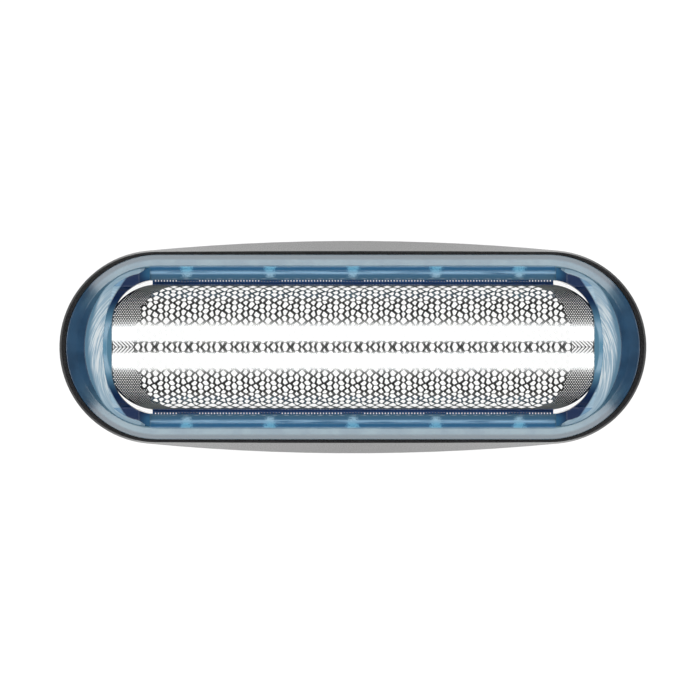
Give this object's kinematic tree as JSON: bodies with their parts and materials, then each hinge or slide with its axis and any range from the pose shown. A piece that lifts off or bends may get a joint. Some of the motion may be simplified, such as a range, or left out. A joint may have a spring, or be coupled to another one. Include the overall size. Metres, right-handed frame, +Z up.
{
  "type": "shaver foil head",
  "caption": "Oblong shaver foil head: a black shell with a translucent blue frame that carries an arched, perforated metal foil over the cutter.",
  "frame": {"origin": "under the middle of the head, on the plane of the shell's foot", "axes": "+X along the head, +Y across it, +Z up from the shell's foot to the foil"},
  "size_m": [0.0608, 0.022, 0.0149],
  "materials": {
    "shell": "glossy black",
    "frame": "glossy translucent blue, frosted on the end caps",
    "foil": "bright thin metal, perforated"
  },
  "bodies": {
    "root": {"outer_shell": "shell", "foil_frame": "frame", "foil": "foil"}
  },
  "joints": []
}
